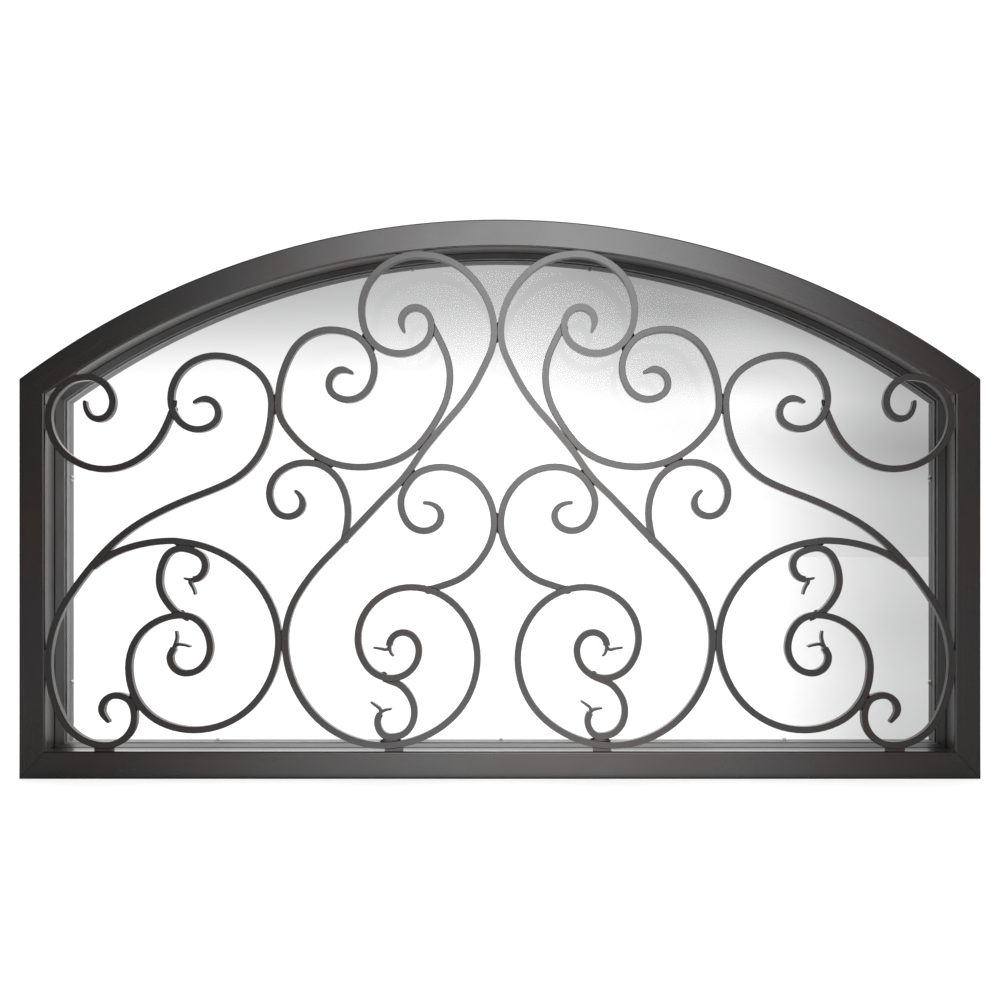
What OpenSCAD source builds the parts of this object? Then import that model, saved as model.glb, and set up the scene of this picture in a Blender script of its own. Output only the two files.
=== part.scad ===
// Arched fireplace screen: two layers of mitred square tube, a glazed rear
// rebate and a front grille of scrolled square bar. Millimetres.
// X runs left to right, Y from front to back, Z up. The origin is on the
// floor, in the middle of the width and of the depth.

/* [Overall] */
// Width over the stiles
overall_w = 1168; // [940:1:1460]
// Height at the crown of the arch
overall_h = 680; // [560:1:830]
// Rise of the arch from the top of a stile to the crown
arch_rise = 194; // [150:1:240]

/* [Frame tubes] */
// Face width of the upright tubes
stile_w = 31.5; // [24:0.5:40]
// Face width of the bottom rail and of the arched head
rail_w = 33.5; // [24:0.5:42]
// Depth of one layer of tube
tube_depth = 25.4; // [18:0.1:32]
// Wall of the tubes
tube_wall = 2; // [1.5:0.1:3]
// Outside corner radius of the tubes
tube_corner = 2.4; // [1:0.1:3]

/* [Glazing] */
// Width of the rebate that holds the edge of the glass
rebate_w = 13; // [9:0.5:16]
// Depth of the rear glazing ring
ring_depth = 25.4; // [22:0.1:32]
// Thickness of the glass
glass_t = 6; // [4:0.5:8]
// Clearance between the edge of the glass and the glazing ring
glass_gap = 2.5; // [1:0.5:4]
// Thickness of the tape in front of the glass
tape_t = 1.2; // [0.8:0.1:2]
// Thickness of the gasket behind the glass
gasket_t = 6.6; // [3:0.1:8]
// Joint between the gasket and the bead
bead_joint = 0.8; // [0.2:0.1:1.5]

/* [Bead screws] */
// Diameter of the screw shank
screw_d = 4; // [3:0.1:5]
// Diameter of the domed head
screw_head_d = 8; // [6:0.5:9]
// Height of the domed head
screw_head_h = 2.6; // [1.5:0.1:3]
// Length of the shank below the head
screw_len = 18; // [16:0.5:20]

/* [Scrollwork] */
// Side of the square scroll bar
bar_w = 8; // [6:0.5:11]
// Width of a drawn-out bar end
tip_w = 4.2; // [3:0.1:6]
// Height of the loops above the bottom rail
foot_h = 3.5; // [2:0.5:6]
// Width of the block under a loop
foot_w = 22; // [16:1:28]
// Place in X of the line where both halves of the grille meet
meet_x = -3; // [-6:0.5:6]
// Diameter of the weld at a joint of two bars
weld_d = 11; // [8:0.5:14]
// Thickness of the weld behind the bars
weld_t = 2; // [1:0.1:3]

/* [Hidden] */
$fn = 96;
arch_fn = 360;

bronze = [0.23, 0.20, 0.19];
bronze_rear = [0.19, 0.17, 0.16];
rubber = [0.10, 0.10, 0.10];
steel = [0.42, 0.40, 0.39];
clear_glass = [0.80, 0.88, 0.88, 0.35];

// ---- frame geometry, seen from the front in X and Z ----
half_w = overall_w / 2;
stile_h = overall_h - arch_rise;
arch_r = (half_w * half_w + arch_rise * arch_rise) / (2 * arch_rise);
arch_z = overall_h - arch_r;
function arch_height(r, x) = arch_z + sqrt(r * r - x * x);

// Layers from the front to the back
total_depth = 2 * tube_depth + ring_depth;
y_front = -total_depth / 2;
y_rear_tube = y_front + tube_depth;
y_ring = y_rear_tube + tube_depth;
y_back = y_ring + ring_depth;
y_glass = y_ring + tape_t;
y_gasket = y_glass + glass_t;
y_bead = y_gasket + gasket_t + bead_joint;

// Inside edges of the frame opening
wall_x = half_w - stile_w;
sill_z = rail_w;
head_r = arch_r - rail_w;
corner_z = arch_height(head_r, wall_x);

// Corners that the mitres run through, on the right-hand side
bottom_outer = [half_w, 0];
bottom_inner = [wall_x, sill_z];
top_outer = [half_w, stile_h];
top_inner = [wall_x, corner_z];
mitre_reach = 4;

// Bead screws: places along the bottom, up the sides and round the head
screw_x = [-0.66 * wall_x, 0, 0.66 * wall_x];
screw_z = [sill_z + 0.157 * corner_z, sill_z + 0.72 * corner_z];
screw_turn = [-7, 7];
screw_y = (y_bead + y_back) / 2;
screw_clearance = 0.4;
// A cut runs this far past the faces it passes through
overshoot = 1;

// Rubber blocks that carry the glass
block_w = 60;
block_x = [-wall_x / 2, wall_x / 2];

// Lip of the gasket, set back from the opening, that closes the bead joint
lip_setback = 3;

// ---- shapes shared by the frame parts ----

// Rectangle with round corners, from [0, 0] to [w, d]
module round_rect(w, d, r) {
    translate([r, 0]) square([w - 2 * r, d]);
    translate([0, r]) square([w, d - 2 * r]);
    for (x = [r, w - r], y = [r, d - r]) translate([x, y]) circle(r = r);
}

// Section of a tube w wide and d deep
module tube_section(w, d) {
    difference() {
        round_rect(w, d, tube_corner);
        translate([tube_wall, tube_wall])
            round_rect(w - 2 * tube_wall, d - 2 * tube_wall, tube_corner / 2);
    }
}

// Extrudes a front outline drawn in X and Z from y towards the back
module slab(y, depth) {
    translate([0, y + depth, 0]) rotate([90, 0, 0])
        linear_extrude(height = depth) children();
}

// Front outline of the frame, shrunk by side, sill and head from its outside
module panel_outline(side, sill, head) {
    intersection() {
        translate([-half_w + side, sill])
            square([overall_w - 2 * side, overall_h]);
        translate([0, arch_z]) circle(r = arch_r - head, $fn = arch_fn);
    }
}

// Point on the mitre line through inner and outer, k times its length past the inner one
function along(inner, outer, k) = inner + k * (outer - inner);
function flip_x(p) = [-p[0], p[1]];

// Areas that the mitre lines leave to a stile, to the rail and to the head
module stile_area() {
    polygon([
        along(bottom_inner, bottom_outer, 2), along(top_inner, top_outer, 2),
        along(top_inner, top_outer, -1), along(bottom_inner, bottom_outer, -1)
    ]);
}
module rail_area() {
    outer = along(bottom_inner, bottom_outer, 2);
    inner = along(bottom_inner, bottom_outer, -1);
    polygon([flip_x(outer), outer, inner, flip_x(inner)]);
}
module head_area() {
    outer = along(top_inner, top_outer, mitre_reach);
    inner = along(top_inner, top_outer, 1 - mitre_reach);
    top = overall_h + rail_w;
    polygon([
        inner, outer, [outer[0], top], [-outer[0], top], flip_x(outer), flip_x(inner)
    ]);
}

// A member of one layer: an upright on the side +1 or -1, whose section is the child
module upright(side, x, y, depth) {
    mirror([side > 0 ? 0 : 1, 0, 0]) intersection() {
        translate([x, y, -stile_w]) linear_extrude(height = stile_h + 2 * stile_w) children();
        slab(y - 1, depth + 2) stile_area();
    }
}
// The sill member at height z, whose section's first axis points up
module sill_member(z, y, depth) {
    intersection() {
        translate([-half_w - rail_w, y, z])
            rotate([90, 0, 90]) linear_extrude(height = overall_w + 2 * rail_w)
                mirror([1, 0]) rotate(90) children();
        slab(y - 1, depth + 2) rail_area();
    }
}
// The arched member, whose section's first axis points outward from radius r
module arched_member(r, y, depth) {
    turn = asin(half_w / arch_r) + 2;
    intersection() {
        translate([0, y + depth, arch_z]) rotate([90, 0, 0]) rotate(90 - turn)
            rotate_extrude(angle = 2 * turn, $fn = arch_fn) translate([r, 0]) children();
        slab(y - 1, depth + 2) head_area();
    }
}

// ---- front and rear tubes ----
module left_stile() {
    color(bronze) upright(-1, wall_x, y_front, tube_depth) tube_section(stile_w, tube_depth);
}
module right_stile() {
    color(bronze) upright(1, wall_x, y_front, tube_depth) tube_section(stile_w, tube_depth);
}
module bottom_rail() {
    color(bronze) sill_member(0, y_front, tube_depth) tube_section(rail_w, tube_depth);
}
module arched_head() {
    color(bronze) arched_member(head_r, y_front, tube_depth) tube_section(rail_w, tube_depth);
}
module left_rear_stile() {
    color(bronze_rear)
        upright(-1, wall_x, y_rear_tube, tube_depth) tube_section(stile_w, tube_depth);
}
module right_rear_stile() {
    color(bronze_rear)
        upright(1, wall_x, y_rear_tube, tube_depth) tube_section(stile_w, tube_depth);
}
module bottom_rear_rail() {
    color(bronze_rear) sill_member(0, y_rear_tube, tube_depth) tube_section(rail_w, tube_depth);
}
module rear_head() {
    color(bronze_rear)
        arched_member(head_r, y_rear_tube, tube_depth) tube_section(rail_w, tube_depth);
}

// ---- glazing ring, beads and their screws ----

// Cylinders of diameter d and length len that run outward from the side wall at x,
// from the sill at z and from the head at radius r, at every bead screw
module side_pins(side, start, len, d) {
    for (z = screw_z) translate([side * (wall_x + start), screw_y, z])
        rotate([0, side * 90, 0]) cylinder(h = len, d = d);
}
module sill_pins(start, len, d) {
    for (x = screw_x) translate([x, screw_y, sill_z - start])
        rotate([180, 0, 0]) cylinder(h = len, d = d);
}
module head_pins(start, len, d) {
    for (turn = screw_turn) translate([0, screw_y, arch_z]) rotate([0, turn, 0])
        translate([0, 0, head_r + start]) cylinder(h = len, d = d);
}

// The threaded holes go through the inside wall of the ring only
module ring_upright(side) {
    difference() {
        upright(side, wall_x + rebate_w, y_ring, ring_depth)
            tube_section(stile_w - rebate_w, ring_depth);
        side_pins(side, rebate_w - overshoot, screw_len - rebate_w + 2 * overshoot, screw_d);
    }
}
module left_glazing_ring() {
    color(bronze_rear) ring_upright(-1);
}
module right_glazing_ring() {
    color(bronze_rear) ring_upright(1);
}
module bottom_glazing_ring() {
    color(bronze_rear) difference() {
        sill_member(0, y_ring, ring_depth) tube_section(rail_w - rebate_w, ring_depth);
        sill_pins(rebate_w - overshoot, screw_len - rebate_w + 2 * overshoot, screw_d);
    }
}
module arched_glazing_ring() {
    color(bronze_rear) difference() {
        arched_member(head_r + rebate_w, y_ring, ring_depth)
            tube_section(rail_w - rebate_w, ring_depth);
        head_pins(rebate_w - overshoot, screw_len - rebate_w + 2 * overshoot, screw_d);
    }
}

module bead_section() {
    square([rebate_w, y_back - y_bead]);
}
module bead_upright(side) {
    difference() {
        upright(side, wall_x, y_bead, y_back - y_bead) bead_section();
        side_pins(side, -overshoot, rebate_w + 2 * overshoot, screw_d + screw_clearance);
    }
}
module left_bead() {
    color(bronze_rear) bead_upright(-1);
}
module right_bead() {
    color(bronze_rear) bead_upright(1);
}
module bottom_bead() {
    color(bronze_rear) difference() {
        sill_member(sill_z - rebate_w, y_bead, y_back - y_bead) bead_section();
        sill_pins(-overshoot, rebate_w + 2 * overshoot, screw_d + screw_clearance);
    }
}
module arched_bead() {
    color(bronze_rear) difference() {
        arched_member(head_r, y_bead, y_back - y_bead) bead_section();
        head_pins(-overshoot, rebate_w + 2 * overshoot, screw_d + screw_clearance);
    }
}

// Domed head, standing on z = 0 and rising towards -z
module screw_dome() {
    dome_r = (screw_head_d * screw_head_d / 4 + screw_head_h * screw_head_h) / (2 * screw_head_h);
    intersection() {
        translate([0, 0, dome_r - screw_head_h]) sphere(r = dome_r);
        translate([0, 0, -screw_head_h]) cylinder(h = screw_head_h, d = screw_head_d);
    }
}
module screw() {
    cylinder(h = screw_len, d = screw_d);
    screw_dome();
}
module bead_screws() {
    color(steel) {
        for (side = [-1, 1], z = screw_z)
            translate([side * wall_x, screw_y, z]) rotate([0, side * 90, 0]) screw();
        for (x = screw_x)
            translate([x, screw_y, sill_z]) rotate([180, 0, 0]) screw();
        for (turn = screw_turn)
            translate([0, screw_y, arch_z]) rotate([0, turn, 0]) translate([0, 0, head_r]) screw();
    }
}

// ---- glass and what it is bedded in ----

// Outline of the glass, and the strip between it and an edge set back by inset
module glass_outline() {
    cover = rebate_w - glass_gap;
    panel_outline(stile_w - cover, rail_w - cover, rail_w - cover);
}
module edge_strip(inset) {
    difference() {
        glass_outline();
        panel_outline(stile_w - inset, rail_w - inset, rail_w - inset);
    }
}
module glass_pane() {
    color(clear_glass) slab(y_glass, glass_t) glass_outline();
}
module front_glazing_tape() {
    color(rubber) slab(y_ring, tape_t) edge_strip(0);
}
module rear_gasket() {
    color(rubber) {
        slab(y_gasket, gasket_t) edge_strip(0);
        slab(y_gasket + gasket_t, bead_joint) edge_strip(lip_setback);
    }
}
module setting_blocks() {
    color(rubber) for (x = block_x)
        translate([x - block_w / 2, y_glass, rail_w - rebate_w])
            cube([block_w, glass_t, glass_gap]);
}

// ---- scroll bars: smooth lines of arcs through a few points ----

function dir(h) = [cos(h), sin(h)];
function half_turn(a) = a - 360 * floor((a + 180) / 360);

// Largest turn and length of one straight step along an arc
step_turn = 7;
step_len = 9;

// Steps [x, z, heading, width] along the arc that leaves p at heading h and ends at q,
// while the width goes from w0 to w1. The end itself is left out.
function arc_steps(p, h, q, w0, w1) = let(
    v = q - p,
    a = half_turn(atan2(v[1], v[0]) - h),
    n = ceil(max(abs(2 * a) / step_turn, norm(v) / step_len))
) [for (i = [0:n - 1]) let(
    t = i / n,
    reach = abs(a) < 0.01 ? t : sin(t * a) / sin(a),
    s = p + norm(v) * reach * dir(h + t * a)
) [s[0], s[1], h + 2 * t * a, w0 + t * (w1 - w0)]];

// Where two arcs of equal tangents meet on the way from point a to point b
function arc_joint(a, b) = let(
    p = [a[0], a[1]],
    q = [b[0], b[1]],
    v = q - p,
    t0 = dir(a[2]),
    t1 = dir(b[2]),
    sum = t0 + t1,
    den = 2 * (1 - t0 * t1),
    reach = den < 1e-6 ? v * v / (4 * (v * t0))
        : (sqrt(pow(v * sum, 2) + den * (v * v)) - v * sum) / den
) (p + q + reach * (t0 - t1)) / 2;

// Both arcs between two points of a bar
function arc_pair(a, b) = let(
    p = [a[0], a[1]],
    q = [b[0], b[1]],
    j = arc_joint(a, b),
    v = j - p,
    turn = 2 * half_turn(atan2(v[1], v[0]) - a[2]),
    w = (a[3] + b[3]) / 2
) concat(arc_steps(p, a[2], j, a[3], w), arc_steps(j, a[2] + turn, q, w, b[3]));

function centre_line(pts) = let(last = len(pts) - 1) concat(
    [for (i = [0:last - 1]) each arc_pair(pts[i], pts[i + 1])],
    [pts[last]]
);

// Points round a drawn-out end; a full-width end stays square
function nose(p, from) = p[3] < bar_w
    ? [for (a = [30:30:150]) [p[0], p[1]] + p[3] / 2 * dir(p[2] + from - a)] : [];
function edge(line, side) =
    [for (p = line) [p[0], p[1]] + side * p[3] / 2 * dir(p[2] + 90)];
function reversed(list) = [for (i = [len(list) - 1:-1:0]) list[i]];
function bar_outline(line) = concat(
    edge(line, 1), nose(line[len(line) - 1], 90),
    reversed(edge(line, -1)), nose(line[0], -90)
);

// ---- the opening that the scrollwork is drawn for ----
// A point of a bar is [u, z, heading, width]: u is the distance outward from the line
// where both halves meet, z the height, and the heading is 0 outward and 90 upward.
// fitted() stretches it to the real opening on one side (+1 right, -1 left).
draw_x = 552.5;
draw_r = 942.5;
draw_z = -296;
draw_floor = 37;
loop_floor = sill_z + foot_h;
function draw_top(u) = draw_z + sqrt(draw_r * draw_r - u * u);
function stretched(side, u, z) = let(
    out = u * (wall_x - side * meet_x) / draw_x,
    top = arch_height(head_r, meet_x + side * out)
) [out, loop_floor + (z - draw_floor) / (draw_top(u) - draw_floor) * (top - loop_floor)];
function stretched_heading(side, p) = let(
    ahead = [p[0], p[1]] + 0.01 * dir(p[2]),
    v = stretched(side, ahead[0], ahead[1]) - stretched(side, p[0], p[1])
) atan2(v[1], v[0]);
function fitted(side, p) = let(
    s = stretched(side, p[0], p[1]),
    h = stretched_heading(side, p),
    w = len(p) > 3 ? p[3] : bar_w,
    off = len(p) > 4 ? p[4] * w / 2 * dir(h + 90) : [0, 0],
    back = len(p) > 4 ? p[5] : 0
) [s[0] + off[0], s[1] + off[1], h + 180 * back, w];
function fitted_bar(side, pts) = centre_line([for (p = pts) fitted(side, p)]);

// Places the right-hand drawing on its side of the meeting line
module on_side(side) {
    translate([meet_x, 0]) mirror([side > 0 ? 0 : 1, 0]) children();
}
module flat_bar(side, pts) {
    polygon(bar_outline(fitted_bar(side, pts)));
}
function stretch_of(pts, from, to) = [for (i = [from:to]) pts[i]];

// ---- where bars touch each other or the frame: [u, z, heading of the common tangent] ----
stile_high = [552.5, 440, 270];
stile_low = [552.5, 140, 270];
head_out = [527, draw_top(527), -asin(527 / draw_r)];
head_in = [105, draw_top(105), 180 - asin(105 / draw_r)];
foot_out = [478.5, draw_floor, 180];
foot_in = [139, draw_floor, 180];
meet_high = [0, 543, 270];
meet_low = [0, 311, 270];
shoulder_cheek = [272, 456, 270];
shoulder_heart = [263.5, 168, 270];
heart_cheek = [158, 531, 52];
diagonal_cheek = [88.5, 409, 129];
diagonal_centre = [109.5, 366, 129];
cheek_small = [213, 384.5, 205];
tail_spiral = [444, 94, 60];
spiral_hook = [383, 284, 7];

// A bar that touches at place c with its left (+1) or right (-1) side towards it;
// back is 1 where the bar runs against the heading of c
function touching(c, side, back = 0) = [c[0], c[1], c[2], bar_w, -side, back];

// ---- the bars of one half ----
corner_pts = [
    [504, 458, 270, tip_w], [487.5, 437.5, 180], [470, 458, 90], [479, 479, 45],
    [500, 488.5, 0], touching(head_out, 1), touching(stile_high, 1),
    [479.5, 376.5, 180], [424, 400.5, 135], [397, 448, 110]
];
shoulder_pts = [
    [370, 458, 147, tip_w], [357, 462, 180], [341, 445, 270], [366, 425, 0],
    [399, 462, 90], [344, 514.5, 180], touching(shoulder_cheek, -1), [304, 378, 315],
    [365, 345, 340], [475.5, 280.5, 315], touching(stile_low, 1), touching(foot_out, 1),
    [443.5, 75.5, 90], touching(tail_spiral, 1), [466, 101.5, 0], [483.5, 84.5, 270],
    [475.5, 70, 225, tip_w]
];
spiral_pts = [
    [495, 257, 140], [396.5, 289.5, 180], touching(spiral_hook, -1, 1), [304, 250.5, 225],
    touching(shoulder_heart, -1), [370.5, 59.5, 0], touching(tail_spiral, -1),
    [450.5, 135.5, 90], [433, 179.5, 135], [385, 199, 180], [351, 159.5, 270],
    [380, 128.5, 0], [400, 147.5, 90], [395.5, 159, 115]
];
hook_pts = [
    [372, 242.5, 180], [357, 260, 90], touching(spiral_hook, 1), [413, 241.5, 270],
    [395.5, 205.5, 225], [386.5, 198.5, 222]
];
heart_pts = [
    [114.5, 544.5, 66, tip_w], [117.5, 556, 90], [100.5, 573, 180], [80.5, 550.5, 270],
    [119.5, 517, 0], touching(heart_cheek, -1), [166, 570, 90], touching(head_in, -1),
    [34.5, 613, 225], touching(meet_high, -1), [24, 486, 298],
    touching(diagonal_cheek, -1, 1), touching(diagonal_centre, 1, 1), [145, 335, 313],
    [209, 268.5, 315], touching(shoulder_heart, 1), touching(foot_in, 1),
    [24.5, 146.5, 90], [51, 210.5, 45], [105.5, 233, 0], [170.5, 170.5, 270],
    [129.5, 122.5, 180], [96, 156, 90], [115.5, 178, 0], [132, 162, 270]
];
centre_pts = [
    [89, 335.5, 178, tip_w], [69, 319.5, 270], [90, 301.5, 0], [118, 335.5, 90],
    touching(diagonal_centre, -1), [69, 379, 180], touching(meet_low, -1),
    [31.5, 254, 315], [84, 230, 345]
];
cheek_pts = [
    [178, 494, 22, tip_w], [189.5, 497.5, 0], [206, 480, 270], [182.5, 461, 180],
    [150.5, 499, 90], touching(heart_cheek, 1), [203.5, 546, 0],
    touching(shoulder_cheek, 1), [243, 410, 225], touching(cheek_small, 1),
    [168.5, 379, 180], touching(diagonal_cheek, 1), [58, 489, 90], [81, 553, 60]
];
small_pts = [
    [246, 349.5, 217, tip_w], [238, 335, 270], [256, 319, 0], [278.5, 347, 90],
    [234.5, 384.5, 180], touching(cheek_small, -1), [182.5, 323.5, 270], [187.5, 291, 285]
];
// The lower hooks are bent alike on both sides, so each has its own points
function lower_hook_pts(side) = side < 0
    ? [[139, 122.5, 205], [114.5, 110.5, 225], [101.5, 81, 270], [110.5, 58, 315],
        [131, 51, 0], [146.5, 69, 90], [143.5, 79, 120]]
    : [[116.5, 124.5, 335], [141, 112, 315], [154, 82.5, 270], [145, 59.5, 225],
        [124.5, 52, 180], [109, 70.5, 90], [112, 80.5, 60]];

// Forked ends: the root of the fork and its two tips
prong_root = 4.4;
prong_tip = 2.4;
spiral_fork = [[395.5, 159, 115], [392.5, 179, 75], [376, 161, 200]];
hook_fork = [[372, 242.5, 0], [382, 244, 25], [369.5, 225, 260]];
heart_fork = [[132, 162, 270], [150.5, 159.5, 5], [127.5, 150, 215]];
function lower_fork(side) = side < 0
    ? [[143.5, 79, 120], [154, 93, 35], [130, 85, 175]]
    : [[112, 80.5, 60], [101.5, 94.5, 145], [125.5, 86, 5]];

module flat_fork(side, fork) {
    for (tip = [1, 2])
        flat_bar(side, [[each fork[0], prong_root], [each fork[tip], prong_tip]]);
}

// One bar of the grille, from its flat outline, in the front layer
module scroll_bar(side) {
    color(bronze) slab(y_front, bar_w) on_side(side) children();
}
module corner_scroll(side) {
    scroll_bar(side) difference() {
        flat_bar(side, corner_pts);
        flat_bar(side, stretch_of(shoulder_pts, 3, 5));
    }
}
module shoulder_scroll(side) {
    scroll_bar(side) flat_bar(side, shoulder_pts);
}
module lower_spiral(side) {
    scroll_bar(side) difference() {
        union() {
            flat_bar(side, spiral_pts);
            flat_fork(side, spiral_fork);
        }
        flat_bar(side, stretch_of(shoulder_pts, 8, 10));
    }
}
module upper_hook(side) {
    scroll_bar(side) difference() {
        union() {
            flat_bar(side, hook_pts);
            flat_fork(side, hook_fork);
        }
        flat_bar(side, stretch_of(spiral_pts, 8, 10));
    }
}
module heart_scroll(side) {
    scroll_bar(side) {
        flat_bar(side, heart_pts);
        flat_fork(side, heart_fork);
    }
}
module centre_scroll(side) {
    scroll_bar(side) difference() {
        flat_bar(side, centre_pts);
        flat_bar(side, stretch_of(heart_pts, 17, 20));
    }
}
module cheek_scroll(side) {
    scroll_bar(side) difference() {
        flat_bar(side, cheek_pts);
        flat_bar(side, stretch_of(heart_pts, 2, 4));
    }
}
module small_scroll(side) {
    scroll_bar(side) difference() {
        flat_bar(side, small_pts);
        flat_bar(side, stretch_of(heart_pts, 13, 15));
    }
}
module lower_hook(side) {
    scroll_bar(side) difference() {
        union() {
            flat_bar(side, lower_hook_pts(side));
            flat_fork(side, lower_fork(side));
        }
        flat_bar(side, stretch_of(heart_pts, 19, 22));
        flat_bar(side, stretch_of(heart_pts, 15, 17));
    }
}

module left_corner_scroll() { corner_scroll(-1); }
module left_shoulder_scroll() { shoulder_scroll(-1); }
module left_lower_spiral() { lower_spiral(-1); }
module left_upper_hook() { upper_hook(-1); }
module left_heart_scroll() { heart_scroll(-1); }
module left_centre_scroll() { centre_scroll(-1); }
module left_cheek_scroll() { cheek_scroll(-1); }
module left_small_scroll() { small_scroll(-1); }
module left_lower_hook() { lower_hook(-1); }
module right_corner_scroll() { corner_scroll(1); }
module right_shoulder_scroll() { shoulder_scroll(1); }
module right_lower_spiral() { lower_spiral(1); }
module right_upper_hook() { upper_hook(1); }
module right_heart_scroll() { heart_scroll(1); }
module right_centre_scroll() { centre_scroll(1); }
module right_cheek_scroll() { cheek_scroll(1); }
module right_small_scroll() { small_scroll(1); }
module right_lower_hook() { lower_hook(1); }

// ---- blocks under the loops, and the welds behind the bars ----
foot_u = [126.5, 481];
foot_top = 3;

// Each block fills the gap below its loop and is scribed to the loop's underside
module foot_blocks() {
    color(bronze) slab(y_front, bar_w) for (side = [-1, 1]) on_side(side) difference() {
        for (u = foot_u)
            translate([stretched(side, u, draw_floor)[0] - foot_w / 2, sill_z])
                square([foot_w, foot_h + foot_top]);
        flat_bar(side, stretch_of(heart_pts, 15, 17));
        flat_bar(side, stretch_of(shoulder_pts, 10, 12));
    }
}

// Butt joints, where one bar ends against the side of another
butt_joints = [
    [397.5, 449], [492, 261], [388, 200], [85, 229.5], [80.5, 549], [187.5, 291]
];
function hook_joint(side) = side < 0 ? [140, 124.5] : [116, 125.5];
function hook_seat(side) = side < 0 ? [131, 46.5] : [124.5, 47];
pair_joints = [
    stile_high, stile_low, head_out, head_in, shoulder_cheek, shoulder_heart,
    heart_cheek, diagonal_cheek, diagonal_centre, cheek_small, tail_spiral, spiral_hook
];
module weld_spot(side, p) {
    translate(stretched(side, p[0], p[1])) circle(d = weld_d);
}
module joint_welds() {
    color(bronze_rear) slab(y_front + bar_w, weld_t) intersection() {
        panel_outline(stile_w, rail_w, rail_w);
        union() {
            for (side = [-1, 1]) on_side(side) {
                for (p = concat(pair_joints, butt_joints)) weld_spot(side, p);
                weld_spot(side, hook_joint(side));
                weld_spot(side, hook_seat(side));
            }
            on_side(1) for (p = [meet_high, meet_low]) weld_spot(1, p);
        }
    }
}

left_stile();
right_stile();
bottom_rail();
arched_head();
left_rear_stile();
right_rear_stile();
bottom_rear_rail();
rear_head();
left_glazing_ring();
right_glazing_ring();
bottom_glazing_ring();
arched_glazing_ring();
left_bead();
right_bead();
bottom_bead();
arched_bead();
glass_pane();
front_glazing_tape();
rear_gasket();
setting_blocks();
bead_screws();
left_corner_scroll();
left_shoulder_scroll();
left_lower_spiral();
left_upper_hook();
left_heart_scroll();
left_centre_scroll();
left_cheek_scroll();
left_small_scroll();
left_lower_hook();
right_corner_scroll();
right_shoulder_scroll();
right_lower_spiral();
right_upper_hook();
right_heart_scroll();
right_centre_scroll();
right_cheek_scroll();
right_small_scroll();
right_lower_hook();
foot_blocks();
joint_welds();
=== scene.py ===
# %% [markdown]
# Arched fireplace screen. Two layers of mitred steel tube make a deep frame, a pane of
# glass sits behind them in a ring, four beads hold it in, and a grille of scrolled square
# bar fills the front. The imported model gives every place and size. This lesson rebuilds
# the frame with soft arrises, softens the scroll bars, adds weld beads and real screws,
# and gives each part its finish.

# %% Load the model
from math import asin, atan2, hypot, radians, sqrt

import bmesh
import bpy
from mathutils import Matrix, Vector


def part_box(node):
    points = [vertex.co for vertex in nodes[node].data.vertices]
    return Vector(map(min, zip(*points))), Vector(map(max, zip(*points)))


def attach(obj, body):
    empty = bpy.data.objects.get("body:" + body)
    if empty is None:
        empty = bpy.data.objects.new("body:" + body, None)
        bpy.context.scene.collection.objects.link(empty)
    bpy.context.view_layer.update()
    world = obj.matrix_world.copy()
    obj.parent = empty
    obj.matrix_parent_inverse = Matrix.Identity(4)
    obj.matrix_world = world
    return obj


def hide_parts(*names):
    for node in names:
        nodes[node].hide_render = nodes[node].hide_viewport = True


MM = 0.001
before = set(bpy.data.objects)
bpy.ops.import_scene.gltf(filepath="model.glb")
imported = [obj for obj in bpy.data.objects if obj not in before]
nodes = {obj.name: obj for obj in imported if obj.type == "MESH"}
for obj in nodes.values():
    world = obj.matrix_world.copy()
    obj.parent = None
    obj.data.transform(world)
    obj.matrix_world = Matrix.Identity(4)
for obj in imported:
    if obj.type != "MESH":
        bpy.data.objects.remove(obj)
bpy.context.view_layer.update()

# %% [markdown]
# Everything below is worked out from the boxes of a few nodes. The stile gives the width of
# the opening and the height of the corners, the rail gives the sill, and the head gives the
# arch: a circle through its crown and its two outer corners.

# %% Sizes of the frame
low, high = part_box("right_stile")
half_width, wall_x = high[0], low[0]
stile_top = high[2]
front_y, layer_y = low[1], high[1]
sill_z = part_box("bottom_rail")[1][2]
crown_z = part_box("arched_head")[1][2]
rear_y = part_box("rear_head")[1][1]
back_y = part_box("arched_glazing_ring")[1][1]
bead_low, bead_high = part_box("right_bead")
bead_y, rebate_x = bead_low[1], bead_high[0]
bar_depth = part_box("left_heart_scroll")[1][1] - front_y
rise = crown_z - stile_top
arch_r = (half_width ** 2 + rise ** 2) / (2 * rise)
arch_z = crown_z - arch_r
head_r = arch_r - sill_z
corner_z = arch_z + sqrt(head_r ** 2 - wall_x ** 2)
rebate = rebate_x - wall_x
print("opening", round(2 * wall_x, 4), "wide; inside radius of the head", round(head_r, 4))

# %% [markdown]
# The camera stands a little over a metre in front, low and just right of the middle, and
# looks straight back. Its axis stays level, so upright tubes stay upright, and a small
# shift frames the screen instead of a tilt.

# %% Camera
eye_distance = 1.149
eye = Vector((0.025, front_y - eye_distance, 0.28))
camera_data = bpy.data.cameras.new("camera")
camera_data.sensor_width = 36.0
camera_data.lens = 34.10
camera_data.shift_x, camera_data.shift_y = -0.0205, 0.0485
camera = bpy.data.objects.new("camera", camera_data)
camera.location = eye
camera.rotation_euler = (radians(90), 0, 0)
bpy.context.scene.collection.objects.link(camera)
bpy.context.scene.camera = camera
print("camera at", tuple(round(c, 3) for c in eye))

# %% [markdown]
# Shader maths is easier to read as ordinary expressions. A Value wraps one socket, and
# adding or multiplying two of them adds a Math node. A Finish owns one material, and its
# node() method makes any other node: settings first, then the sockets.

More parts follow.
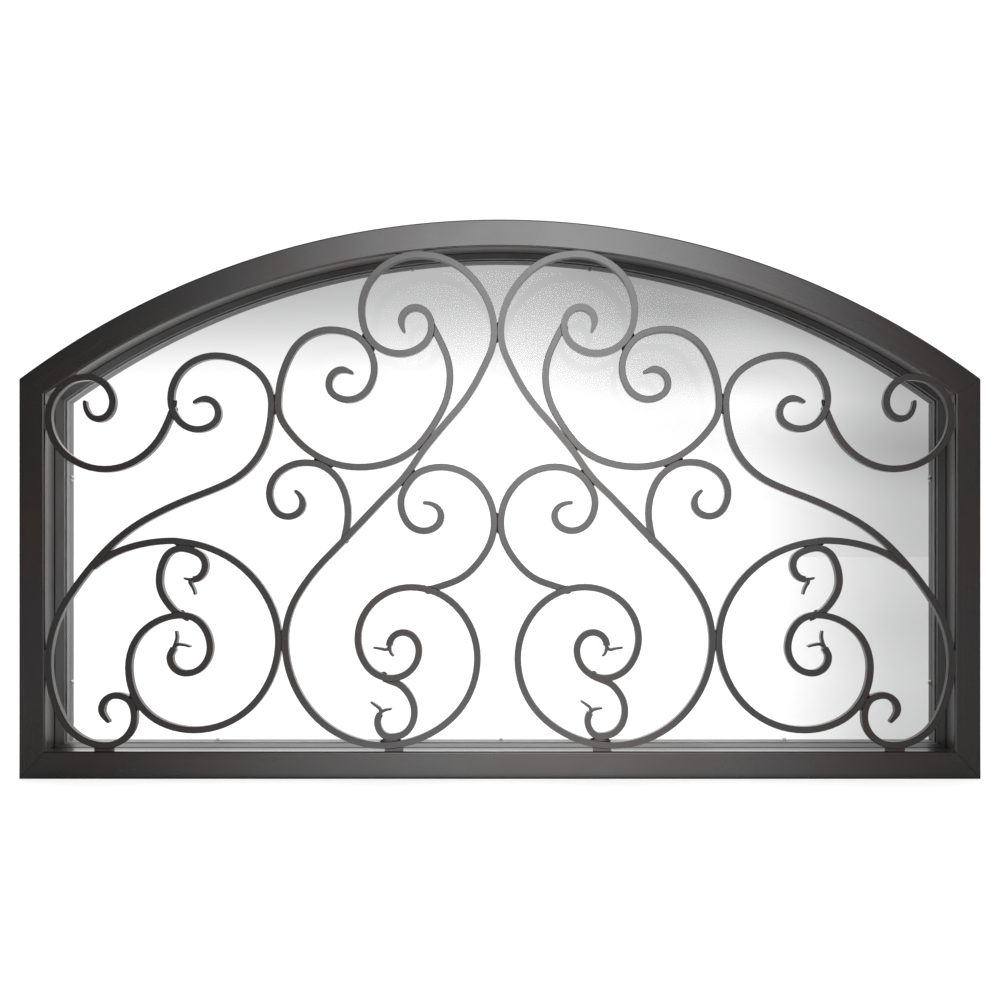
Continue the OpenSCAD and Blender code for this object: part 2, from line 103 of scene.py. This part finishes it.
# %% A socket that does arithmetic, and the material that owns it
class Value:
    def __init__(self, finish, socket):
        self.finish, self.socket = finish, socket

    def __add__(self, other):
        return self.finish.maths("ADD", self, other)

    def __sub__(self, other):
        return self.finish.maths("SUBTRACT", self, other)

    def __rsub__(self, other):
        return self.finish.maths("SUBTRACT", other, self)

    def __mul__(self, other):
        return self.finish.maths("MULTIPLY", self, other)

    __radd__, __rmul__ = __add__, __mul__

    def absolute(self):
        return self.finish.maths("ABSOLUTE", self)

    def between(self, start, end):
        """0 at start, 1 at end, and a smooth step from one to the other."""
        return self.finish.node(
            "ShaderNodeMapRange", {"interpolation_type": "SMOOTHSTEP"},
            {0: self, 1: start, 2: end, 3: 0.0, 4: 1.0},
        )


class Finish:
    def __init__(self, name, owners=None, place="Object"):
        owners = bpy.data.materials if owners is None else owners
        self.owner = owners.new(name)
        self.owner.use_nodes = True
        self.tree = self.owner.node_tree
        self.tree.nodes.clear()
        self.place = self.node("ShaderNodeTexCoord", {}, {}, place)

    def node(self, kind, settings, sockets, output=0):
        made_node = self.tree.nodes.new(kind)
        for setting, value in settings.items():
            setattr(made_node, setting, value)
        for key, value in sockets.items():
            if isinstance(value, Value):
                self.tree.links.new(value.socket, made_node.inputs[key])
            else:
                made_node.inputs[key].default_value = value
        return Value(self, made_node.outputs[output])

    def maths(self, operation, first, second=0.0):
        return self.node("ShaderNodeMath", {"operation": operation}, {0: first, 1: second})

    def axes(self):
        """The three parts of the place, as separate values."""
        split = self.node("ShaderNodeSeparateXYZ", {}, {0: self.place})
        return [Value(self, socket) for socket in split.socket.node.outputs]

    def blend(self, factor, first, second):
        """Mixes two colours."""
        colours = {0: factor, 6: first, 7: second}
        return self.node("ShaderNodeMix", {"data_type": "RGBA"}, colours, 2)

    def mix(self, factor, first, second):
        """Mixes two shaders."""
        return self.node("ShaderNodeMixShader", {}, {0: factor, 1: first, 2: second})

    def noise(self, scale, detail=2.0, vector=None, rough=0.5):
        return self.node(
            "ShaderNodeTexNoise", {},
            {"Vector": vector or self.place, "Scale": scale, "Detail": detail, "Roughness": rough},
        )

    def stretched(self, vector, scale):
        return self.node("ShaderNodeMapping", {}, {"Vector": vector, "Scale": scale})

    def bump(self, strength, distance, height):
        return self.node(
            "ShaderNodeBump", {}, {"Strength": strength, "Distance": distance, "Height": height}
        )

    def principled(self, **sockets):
        names = {key.replace("_", " "): value for key, value in sockets.items()}
        return self.node("ShaderNodeBsdfPrincipled", {}, names)

    def show(self, shader, output="ShaderNodeOutputMaterial"):
        end = self.tree.nodes.new(output)
        self.tree.links.new(shader.socket, end.inputs["Surface"])
        return self.owner


print("a Value can be added, subtracted, multiplied, made positive and stepped")

# %% [markdown]
# A dark satin coat shows its shape only by what it reflects, so the floor and the room are
# made for their reflections. The floor glows in a pool of light before the screen and again
# behind it. The camera sees it as one pale sheet.

# %% Floor
light_aside = 0.03
seen_glow, pool_glow, behind_glow = 0.75, 2.8, 1.1
bpy.ops.mesh.primitive_plane_add(size=60, location=(0, 0, -0.2 * MM))
floor = bpy.context.active_object
floor.name = "floor"
floor_finish = Finish("pale_floor")
floor_x, floor_y, _ = floor_finish.axes()
pool = (floor_x - light_aside).absolute().between(0.62, 0.0)
pool = pool * floor_y.between(front_y, front_y - 0.03) * floor_y.between(-1.6, -0.4)
behind = floor_y.between(back_y, back_y + 0.25)
seen = floor_finish.node("ShaderNodeLightPath", {}, {}, "Is Camera Ray")
floor.data.materials.append(floor_finish.show(floor_finish.principled(
    Base_Color=(0.4, 0.4, 0.4, 1), Roughness=0.9, Emission_Strength=1.0,
    Emission_Color=seen * seen_glow + (1.0 - seen) * (pool * pool_glow + behind * behind_glow),
)))
print("floor", tuple(floor.dimensions[:2]))

# %% [markdown]
# The room has one tall band of soft light straight behind the camera, which brightens the
# middle of the frame and fades towards the stiles. Its far side is pale, so the inside
# walls of the tubes pick up light that comes through the glass. The camera itself sees
# plain white, and one large lamp above lights the tops.

# %% Room and top light
band_strength, band_reach = 11.0, 0.33
pale_strength, dark_level, white_level = 2.1, 0.01, 1.2
room = Finish("room", bpy.data.worlds, "Generated")
aside, ahead, above = room.axes()
in_front = (0.0 - ahead).between(0.1, 0.75)
band = (aside - light_aside).absolute().between(band_reach, 0.0)
band = band * in_front * above.between(-0.3, 0.1) * above.between(0.85, 0.35)
pale_side = ahead.between(-0.15, 0.45) * pale_strength + dark_level
room_light = room.node("ShaderNodeBackground", {}, {"Color": band * band_strength + pale_side})
white = room.node("ShaderNodeBackground", {}, {"Color": (1, 1, 1, 1), "Strength": white_level})
seen = room.node("ShaderNodeLightPath", {}, {}, "Is Camera Ray")
bpy.context.scene.world = room.show(room.mix(seen, room_light, white), "ShaderNodeOutputWorld")

lamp = bpy.data.lights.new("top_light", "AREA")
lamp.shape, lamp.size, lamp.size_y, lamp.energy = "RECTANGLE", 1.6, 0.8, 18
top_light = bpy.data.objects.new("top_light", lamp)
top_light.location = (0, 0.1, 2.8)
bpy.context.scene.collection.objects.link(top_light)
bpy.context.scene.view_settings.view_transform = "Standard"
print("lit by a band of soft light, a pale far side and one top light")

# %% [markdown]
# The coat is a rubbed bronze under wax: nearly black, with a faint red-brown mottle, a
# slight orange peel from the spray gun and fine streaks that run along each tube. The
# streaks follow the member, so the finish takes the direction: along X, along Z, or round
# the arch. A second, thin layer in the shader gives the wax its own gloss.

# %% The rubbed bronze coat
tube_round = 2.4 * MM
dark_brown = (0.0052, 0.0040, 0.0036, 1)
red_brown = (0.019, 0.0085, 0.0068, 1)
rubbed_brown = (0.030, 0.023, 0.020, 1)
wax_tint = (1.0, 0.965, 0.955, 1)
patch_scale, stain_scale, grain_scale = 7.0, 26.0, 1400.0
streak_stretch = (2.5, 160, 160)
base_rough, stain_rough, streak_rough = 0.55, 0.10, 0.08
patch_share, rubbed_share, wax_loss = 0.6, 0.25, -0.15
peel_strength, peel_depth = 0.06, 0.4 * MM


def along_member(finish, run):
    """A vector whose first part runs along the member and the others across it."""
    x, y, z = finish.axes()
    if run == "arch":
        up = z - arch_z
        turn = finish.maths("ARCTAN2", x, up)
        parts = {0: turn * arch_r, 1: y, 2: finish.maths("SQRT", x * x + up * up)}
    elif run == "z":
        parts = {0: z, 1: y, 2: x}
    else:
        parts = {0: x, 1: y, 2: z}
    return finish.node("ShaderNodeCombineXYZ", {}, parts)


def bronze(name, run=None, rough=0.25, base=dark_brown, mottle=red_brown, wax=0.92, painted_depth_shade=0.0):
    """Bronze under a wax coat, thinned by this share from the front to the back as painted shade
    inside the deep frame.
    """
    finish = Finish(name)
    patches = finish.noise(patch_scale, 3.0, rough=0.6).between(0.42, 0.72)
    colour = finish.blend(patches * patch_share, base, mottle)
    dull = finish.noise(stain_scale, 4.0) * stain_rough + base_rough
    if run:
        lengthwise = finish.stretched(along_member(finish, run), streak_stretch)
        streaks = finish.noise(1.0, 3.0, lengthwise)
        dull = dull + (streaks - 0.5) * streak_rough
        colour = finish.blend(streaks.between(0.55, 0.75) * rubbed_share, colour, rubbed_brown)
    weight = patches * wax_loss + wax
    # A coat that thins towards the back is painted shade: the walls of the deep frame reflect less
    # there.
    if painted_depth_shade:
        depth = finish.axes()[1]
        weight = weight * (1.0 - depth.between(front_y + tube_round, layer_y) * painted_depth_shade)
    peel = finish.bump(peel_strength, peel_depth, finish.noise(grain_scale, 1.0))
    return finish.show(finish.principled(
        Base_Color=colour, Roughness=dull, IOR=1.2, Coat_Weight=weight, Coat_Roughness=rough,
        Coat_IOR=1.5, Coat_Tint=wax_tint, Normal=peel,
    ))


print("the bronze goes from", dark_brown[:3], "to", rubbed_brown[:3])

# %% [markdown]
# Inside the deep frame the wax coat thins as painted shade: the front layer loses it towards
# its back and the rear layer starts with less, so these walls reflect less where the frame
# lies in shade. The beads behind the glass are paler and duller. The screws are bare steel,
# worn where the driver has turned them.

# %% Coats for each layer, the bars, the welds and the screws
bead_brown = (0.11, 0.108, 0.106, 1)
rear_rough, bead_rough, bar_rough, weld_rough = 0.4, 0.45, 0.27, 0.42
dark_steel, bright_steel = (0.42, 0.41, 0.40, 1), (0.55, 0.54, 0.52, 1)
finishes = {}
# The depth shares and the thinner rear coats set painted shade inside the deep frame.
for run, painted_depth_shade, rear_painted_shade_coat in (("x", 0.65, 0.6), ("z", 0.9, 0.25), ("arch", 0.9, 0.15)):
    finishes["front", run] = bronze(f"bronze_front_{run}", run, painted_depth_shade=painted_depth_shade)
    finishes["rear", run] = bronze(f"bronze_rear_{run}", run, rear_rough, wax=rear_painted_shade_coat)
    finishes["ring", run] = finishes["rear", run]
    finishes["bead", run] = bronze(f"bronze_bead_{run}", run, bead_rough, bead_brown, bead_brown)
bar_bronze = bronze("bronze_bar", None, bar_rough)
weld_bronze = bronze("bronze_weld", None, weld_rough)
steel = Finish("screw_steel")
wear = steel.noise(900.0, 3.0)
screw_steel = steel.show(steel.principled(
    Base_Color=steel.blend(wear.between(0.4, 0.7), dark_steel, bright_steel),
    Metallic=1.0, Roughness=wear * 0.2 + 0.25,
))
print(len(set(finishes.values())) + 2, "coats of bronze and one of steel")

# %% [markdown]
# Blender's operators act on whatever is selected, so each step starts from a clean
# selection. These helpers choose an object, cut it, merge its doubled points, apply its
# modifiers, and hand a finished piece over to the frame.


def pick(*pieces):
    """Selects these pieces and nothing else, and makes the first one active."""
    bpy.ops.object.select_all(action="DESELECT")
    for piece in pieces:
        piece.select_set(True)
    bpy.context.view_layer.objects.active = pieces[0]


def settle(piece):
    """Puts the object's own place, turn and scale into its mesh."""
    pick(piece)
    bpy.ops.object.transform_apply(location=True, rotation=True, scale=True)


def join(pieces):
    pick(*pieces)
    bpy.ops.object.join()
    return bpy.context.active_object


def cut(piece, point, normal):
    """Cuts a piece with a plane, drops what lies on the normal's side and closes the cut."""
    pick(piece)
    bpy.ops.object.mode_set(mode="EDIT")
    bpy.ops.mesh.select_all(action="SELECT")
    bpy.ops.mesh.bisect(
        plane_co=point, plane_no=normal, use_fill=True, clear_outer=True, threshold=1e-6
    )
    bpy.ops.object.mode_set(mode="OBJECT")


def tidy_mesh(piece):
    """Merges doubled points and turns every face outwards."""
    pick(piece)
    bpy.ops.object.mode_set(mode="EDIT")
    bpy.ops.mesh.select_all(action="SELECT")
    bpy.ops.mesh.remove_doubles(threshold=1e-6)
    bpy.ops.mesh.normals_make_consistent(inside=False)
    bpy.ops.object.mode_set(mode="OBJECT")


def round_edges(piece, width, segments, angle):
    """Rounds every edge sharper than the angle, and applies the modifier."""
    pick(piece)
    bevel = piece.modifiers.new("round_edges", "BEVEL")
    bevel.width, bevel.segments = width, segments
    bevel.limit_method, bevel.angle_limit = "ANGLE", radians(angle)
    bevel.use_clamp_overlap = True
    bpy.ops.object.modifier_apply(modifier=bevel.name)


def hand_over(piece, name, replaced, smooth=32):
    """Names a finished piece, smooths its shading and lets it stand for CAD nodes."""
    piece.name = name
    piece.data.name = name
    pick(piece)
    bpy.ops.object.shade_smooth_by_angle(angle=radians(smooth))
    flatten = piece.modifiers.new("flatten", "WEIGHTED_NORMAL")
    flatten.keep_sharp, flatten.weight = True, 100
    bpy.ops.object.modifier_apply(modifier=flatten.name)
    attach(piece, "root")
    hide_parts(*replaced)
    print(name, "has", len(piece.data.polygons), "faces")


# %% [markdown]
# Each straight member starts as a cube as long as the frame. Its long edges are rounded
# first, like drawn tube, and only then is it cut along the mitres, so the cut stays crisp.
# A last tiny bevel leaves the hairline that shows where two tubes were welded and ground.

# %% Mitres, and the table of layers
bead_round = 0.7 * MM
mitre_hairline = 0.35 * MM
spare = 0.05
bottom_slope = Vector((half_width - wall_x, 0, -sill_z))
top_slope = Vector((half_width - wall_x, 0, stile_top - corner_z))


def mitre_normal(slope, side, up):
    """The normal of a mitre plane on one side, turned to point up or down."""
    normal = Vector((-slope.z * side, 0, slope.x))
    return normal if (normal.z > 0) == up else -normal


def bottom_mitre(side, up):
    return (side * wall_x, 0, sill_z), mitre_normal(bottom_slope, side, up)


def top_mitre(side, up):
    return (side * wall_x, 0, corner_z), mitre_normal(top_slope, side, up)


def finish_member(piece, mitres, finish, name, node):
    """Cuts a member along its two mitres, and gives it its hairline, finish and name."""
    for point, normal in mitres:
        cut(piece, point, normal)
    tidy_mesh(piece)
    piece.data.materials.append(finish)
    round_edges(piece, mitre_hairline, 1, 40)
    hand_over(piece, name, [node])


# inner edge, outer edge, front, back, corner radius and slot of each layer
layers = {
    "front": (wall_x, half_width, front_y, layer_y, tube_round, "front_frame"),
    "rear": (wall_x, half_width, layer_y, rear_y, tube_round, "rear_frame"),
    "ring": (rebate_x, half_width, rear_y, back_y, tube_round, "rear_frame"),
    "bead": (wall_x, rebate_x, bead_y, back_y, bead_round, "rear_frame"),
}
print("layers from front to back:", ", ".join(layers))

# %% [markdown]
# Every layer has two uprights and one bar along the bottom. They differ only in which way
# they run, so one function makes them all from two opposite corners.

# %% Straight tubes and beads, cut along their mitres
upright_nodes = {
    "front": "{}_stile", "rear": "{}_rear_stile", "ring": "{}_glazing_ring", "bead": "{}_bead",
}
sill_nodes = {
    "front": "bottom_rail", "rear": "bottom_rear_rail", "ring": "bottom_glazing_ring",
    "bead": "bottom_bead",
}


def straight(node, low, high, radius, mitres, finish):
    middle = [(a + b) / 2 for a, b in zip(low, high)]
    size = [b - a for a, b in zip(low, high)]
    bpy.ops.mesh.primitive_cube_add(size=1, location=middle, scale=size)
    piece = bpy.context.active_object
    settle(piece)
    round_edges(piece, radius, 4, 60)
    finish_member(piece, mitres, finish, node + "_tube", node)


for layer, (inner, outer, y0, y1, radius, slot) in layers.items():
    for side, word in ((-1, "left"), (1, "right")):
        start, end = sorted((side * inner, side * outer))
        straight(
            upright_nodes[layer].format(word), (start, y0, -spare), (end, y1, stile_top + spare),
            radius, [bottom_mitre(side, False), top_mitre(side, True)],
            finishes[layer, "z"],
        )
    reach = half_width + spare
    bottom = 0 if outer == half_width else sill_z - rebate
    straight(
        sill_nodes[layer], (-reach, y0, bottom), (reach, y1, sill_z - (inner - wall_x)),
        radius, [bottom_mitre(side, True) for side in (-1, 1)], finishes[layer, "x"],
    )

# %% [markdown]
# The arched members are a flat face spun round the centre of the arch, which is how a
# ring roller bends them. The spin runs past both corners, the long edges are rounded, and
# the mitre planes cut the ends.

# %% Arched tubes and bead
arch_steps = 150
spare_turn = radians(2)
arched_nodes = {
    "front": "arched_head", "rear": "rear_head", "ring": "arched_glazing_ring",
    "bead": "arched_bead",
}


def drop_strays(piece):
    """Deletes the flat face that the spin started from, which lies level with the centre."""
    pick(piece)
    bpy.ops.object.mode_set(mode="EDIT")
    bpy.ops.mesh.select_all(action="DESELECT")
    work = bmesh.from_edit_mesh(piece.data)
    for vertex in work.verts:
        vertex.select = abs(vertex.co.z - arch_z) < 1e-5
    work.select_flush(True)
    bmesh.update_edit_mesh(piece.data)
    bpy.ops.mesh.delete(type="VERT")
    bpy.ops.object.mode_set(mode="OBJECT")


def arched(node, r0, r1, y0, y1, radius, finish):
    turn = asin(half_width / arch_r) + spare_turn
    middle_y = (y0 + y1) / 2
    bpy.ops.mesh.primitive_plane_add(size=1, location=((r0 + r1) / 2, middle_y, arch_z))
    piece = bpy.context.active_object
    piece.scale = (r1 - r0, y1 - y0, 1)
    settle(piece)
    bpy.ops.object.mode_set(mode="EDIT")
    bpy.ops.mesh.select_all(action="SELECT")
    start = radians(90) - turn
    round_centre = {"center": (0, middle_y, arch_z), "axis": (0, 1, 0)}
    bpy.ops.mesh.spin(steps=1, dupli=True, angle=start, **round_centre)
    bpy.ops.mesh.spin(steps=arch_steps, angle=2 * turn, **round_centre)
    bpy.ops.object.mode_set(mode="OBJECT")
    drop_strays(piece)
    tidy_mesh(piece)
    round_edges(piece, radius, 4, 60)
    mitres = [top_mitre(side, False) for side in (-1, 1)]
    finish_member(piece, mitres, finish, node + "_tube", node)


for layer, (inner, outer, y0, y1, radius, slot) in layers.items():
    r0 = head_r + (inner - wall_x)
    r1 = arch_r if outer == half_width else head_r + rebate
    arched(arched_nodes[layer], r0, r1, y0, y1, radius, finishes[layer, "arch"])
print(len(arched_nodes), "arched members")

# %% [markdown]
# The scroll bars keep the shape of the model, because their joints depend on it. A copy is
# merged, its flat faces are dissolved into single ones, and the arrises are broken with a
# small bevel, narrow enough to leave the front faces flat.

# %% Scroll bars with broken arrises
arris = 0.55 * MM
same_spot = 2e-6
scroll_words = (
    "corner_scroll", "shoulder_scroll", "lower_spiral", "upper_hook", "heart_scroll",
    "centre_scroll", "cheek_scroll", "small_scroll", "lower_hook",
)
scroll_nodes = [f"{side}_{word}" for word in scroll_words for side in ("left", "right")]


def softened(node, name):
    piece = nodes[node].copy()
    piece.data = nodes[node].data.copy()
    piece.parent = None
    bpy.context.scene.collection.objects.link(piece)
    piece.data.materials.clear()
    piece.data.materials.append(bar_bronze)
    for face in piece.data.polygons:
        face.material_index = 0
    pick(piece)
    bpy.ops.object.mode_set(mode="EDIT")
    bpy.ops.mesh.select_all(action="SELECT")
    bpy.ops.mesh.customdata_custom_splitnormals_clear()
    bpy.ops.mesh.remove_doubles(threshold=same_spot)
    bpy.ops.mesh.dissolve_limited(angle_limit=radians(1))
    bpy.ops.object.mode_set(mode="OBJECT")
    round_edges(piece, arris, 1, 50)
    hand_over(piece, name, [node], smooth=24)


for node in scroll_nodes:
    softened(node, node + "_bar")
softened("foot_blocks", "loop_feet")
print(len(scroll_nodes), "scroll bars, broken by", arris, "at each arris")

# %% [markdown]
# Where two bars touch, a welder runs a short bead into the cusp on each side and another
# over the back. The model marks every joint with a disc, so the discs give the places. The
# side faces of the bars next to a joint give the direction that the bead runs in.

# %% Find the joints and their directions
def islands(node):
    """The centre of each separate solid in a node."""
    work = bmesh.new()
    work.from_mesh(nodes[node].data)
    bmesh.ops.remove_doubles(work, verts=work.verts, dist=same_spot)
    todo, centres = set(work.verts), []
    while todo:
        queue, seen = [min(todo, key=lambda v: v.index)], set()
        while queue:
            vertex = queue.pop()
            if vertex in seen:
                continue
            seen.add(vertex)
            queue.extend(link.other_vert(vertex) for link in vertex.link_edges)
        todo -= seen
        spots = [v.co for v in seen]
        low = Vector([min(s[i] for s in spots) for i in range(3)])
        high = Vector([max(s[i] for s in spots) for i in range(3)])
        centres.append((low + high) / 2)
    work.free()
    return centres


side_faces = []
for node in scroll_nodes:
    mesh = nodes[node].data
    for face in mesh.polygons:
        if abs(face.normal.y) < 0.1:
            spots = {(mesh.vertices[v].co.x, mesh.vertices[v].co.z) for v in face.vertices}
            side_faces.append((spots, face.normal.copy()))


def run_of_joint(place):
    """The angle in the front plane of the bar faces nearest to a joint."""
    def gap(entry):
        return min(hypot(x - place.x, z - place.z) for x, z in entry[0])
    normal = min(side_faces, key=gap)[1]
    return atan2(normal.x, -normal.z)


joints = [(centre, run_of_joint(centre)) for centre in islands("joint_welds")]
print(len(joints), "welded joints")

# %% [markdown]
# A weld bead is a long low lump, so each one is a squashed sphere sunk into the steel. At
# every joint one lump fills the cusps and one sits on the back. Where a bar meets the
# frame, the weld was ground nearly flush, and a thin smear is left along the frame's edge.

# %% Weld beads, in the cusps, over the back and along the frame
cusp_length, cusp_width, cusp_depth = 26 * MM, 6.2 * MM, 7.4 * MM
back_size, back_height = 10.6 * MM, 3.6 * MM
flush_length, flush_width, flush_depth = 34 * MM, 6 * MM, 3.4 * MM
cusp_sink, flush_sink = 0.2 * MM, 0.15 * MM
reach_of_weld = 14 * MM
back_face_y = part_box("joint_welds")[0][1]


def bead_lump(place, size, angle):
    bpy.ops.mesh.primitive_uv_sphere_add(segments=20, ring_count=10, radius=0.5, location=place)
    lump = bpy.context.active_object
    lump.scale = size
    lump.rotation_euler = (0, -angle, 0)
    settle(lump)
    return lump


def frame_edge(centre):
    """The nearest point of the frame's inside edge and its direction, if it is close by."""
    outward = Vector((centre.x, 0, centre.z - arch_z))
    if abs(centre.x) > wall_x - reach_of_weld:
        return Vector((wall_x * (1 if centre.x > 0 else -1), 0, centre.z)), radians(90)
    if abs(outward.length - head_r) < reach_of_weld:
        edge = outward.normalized() * head_r
        return Vector((edge.x, 0, edge.z + arch_z)), atan2(-edge.x, edge.z)
    return None


lumps = []
for centre, angle in joints:
    found = frame_edge(centre)
    if found:
        edge, turn = found
        spot = (edge.x, front_y + flush_depth / 2 + flush_sink, edge.z)
        lumps.append(bead_lump(spot, (flush_length, flush_depth, flush_width), turn))
    cusp = (centre.x, front_y + bar_depth / 2 + cusp_sink, centre.z)
    lumps.append(bead_lump(cusp, (cusp_length, cusp_depth, cusp_width), angle))
    rear = (centre.x, back_face_y, centre.z)
    lumps.append(bead_lump(rear, (back_size, back_height, back_size), angle))
print(len(lumps), "lumps of weld")
welds = join(lumps)
welds.data.materials.append(weld_bronze)
hand_over(welds, "weld_beads", ["joint_welds"], smooth=60)

# %% [markdown]
# The bead screws have domed heads with a cross recess. One is modelled at the origin, head
# up: a sphere is cut to a dome, and two thin bars are taken out of it.

# %% One domed screw head with a cross recess
head_d, head_h = 8 * MM, 2.6 * MM
recess_size = (4.4 * MM, 1.0 * MM, 2.4 * MM)
dome_r = (head_d ** 2 / 4 + head_h ** 2) / (2 * head_h)
bpy.ops.mesh.primitive_uv_sphere_add(
    segments=32, ring_count=24, radius=dome_r, location=(0, 0, head_h - dome_r)
)
screw = bpy.context.active_object
settle(screw)
cut(screw, (0, 0, 0), (0, 0, -1))
tidy_mesh(screw)
for turn in (45, 135):
    bpy.ops.mesh.primitive_cube_add(size=1, location=(0, 0, head_h))
    bar = bpy.context.active_object
    bar.scale = recess_size
    bar.rotation_euler = (0, 0, radians(turn))
    settle(bar)
    pick(screw)
    recess = screw.modifiers.new("recess", "BOOLEAN")
    recess.operation, recess.solver, recess.object = "DIFFERENCE", "EXACT", bar
    bpy.ops.object.modifier_apply(modifier=recess.name)
    bpy.data.objects.remove(bar)
screw.data.materials.append(screw_steel)
print("one screw head has", len(screw.data.polygons), "faces")

# %% [markdown]
# The beads hold nine of these screws. Each copy is turned to face into the opening: inwards
# on the uprights, up from the sill, and towards the centre of the arch under the head.

# %% Nine copies, each facing into the opening
heads = []
for centre in islands("bead_screws"):
    if abs(centre.x) > wall_x - head_h:
        inward = Vector((-centre.x, 0, 0)).normalized()
        foot = Vector((wall_x * (1 if centre.x > 0 else -1), centre.y, centre.z))
    elif centre.z < sill_z:
        inward = Vector((0, 0, 1))
        foot = Vector((centre.x, centre.y, sill_z))
    else:
        outward = Vector((centre.x, 0, centre.z - arch_z)).normalized()
        inward = -outward
        foot = Vector((0, centre.y, arch_z)) + outward * head_r
    head = screw.copy()
    head.data = screw.data.copy()
    bpy.context.scene.collection.objects.link(head)
    head.rotation_mode = "QUATERNION"
    head.rotation_quaternion = inward.to_track_quat("Z", "Y")
    head.location = foot
    settle(head)
    heads.append(head)
bpy.data.objects.remove(screw)
print(len(heads), "screw heads")
hand_over(join(heads), "bead_screw_heads", ["bead_screws"], smooth=35)

# %% [markdown]
# The glass is a 6 mm pane. Clear glass is simplest as a mixture: most light goes straight
# through, and the Fresnel share is mirrored. A dark sheet is mixed into the pane as painted
# shade, heavier towards one side and under the crown, where the room behind it lies in shade.

# %% Glass with painted shade
# The veil is painted shade: the thin, crown, side, shoulder and streak shares darken the pane
# where the room behind lies in shade.
thin_painted_shade, crown_share, side_share, shoulder_share = 0.03, 0.36, 0.33, 0.08
wave_share, streak_share, streak_floor = 0.14, 0.9, 0.36
mirror_share = 0.1
glass = Finish("clear_glass")
across, _, height = glass.axes()
waves = glass.noise(2.6, 1.0, glass.stretched(glass.place, (0.7, 1, 2.6)))
crown_painted_shade = height.between(0.46, 0.63) * crown_share
side_painted_shade = across.between(0.26, 0.55) * (side_share + (waves - 0.5) * wave_share)
shoulder_painted_shade = across.between(0.02, 0.26) * height.between(0.52, 0.60) * shoulder_share
streaks = across.between(-0.05, 0.30) * height.between(0.34, 0.48)
streaks = glass.maths("MAXIMUM", streaks * (waves * streak_share - streak_floor), 0.0)
painted_shade = thin_painted_shade + crown_painted_shade + side_painted_shade + shoulder_painted_shade + streaks
through = glass.node("ShaderNodeBsdfTransparent", {}, {"Color": (0.99, 0.992, 0.99, 1)})
mirror = glass.principled(Base_Color=(0.95, 0.97, 0.96, 1), Metallic=1.0, Roughness=0.03)
share = glass.node("ShaderNodeFresnel", {}, {"IOR": 1.5}) * mirror_share
# A dark sheet that carries the painted shade.
shade_sheet = glass.node("ShaderNodeBsdfTransparent", {}, {"Color": (0.10, 0.10, 0.105, 1)})
pane = glass.show(glass.mix(painted_shade, glass.mix(share, through, mirror), shade_sheet))
print("the thinnest veil is", thin_painted_shade, "and the crown adds", crown_share)

# %% [markdown]
# The pane is bedded in rubber: a pale tape in front, a pale gasket behind and dark blocks
# under its lower edge. Rubber is dull and a little dusty, so one function takes the colour
# and the dust. These parts keep the shape of the model and only change their finish.

# %% Rubber, and the finish of the pane and its bedding
def sealing(name, tint, dusty):
    rubber = Finish(name)
    dust = rubber.noise(60.0, 4.0)
    return rubber.show(rubber.principled(
        Base_Color=rubber.blend(dust.between(0.5, 0.8), tint, dusty), Roughness=dust * 0.2 + 0.5,
        Normal=rubber.bump(0.15, 0.3 * MM, dust),
    ))


grey_rubber = sealing("grey_rubber", (0.24, 0.24, 0.24, 1), (0.28, 0.28, 0.275, 1))
dark_rubber = sealing("dark_rubber", (0.03, 0.03, 0.03, 1), (0.06, 0.058, 0.055, 1))
bedding = {
    "glass_pane": pane, "front_glazing_tape": grey_rubber, "rear_gasket": grey_rubber,
    "setting_blocks": dark_rubber,
}
for node, finish in bedding.items():
    nodes[node].data.materials.clear()
    nodes[node].data.materials.append(finish)
print(", ".join(bedding), "have their finish")
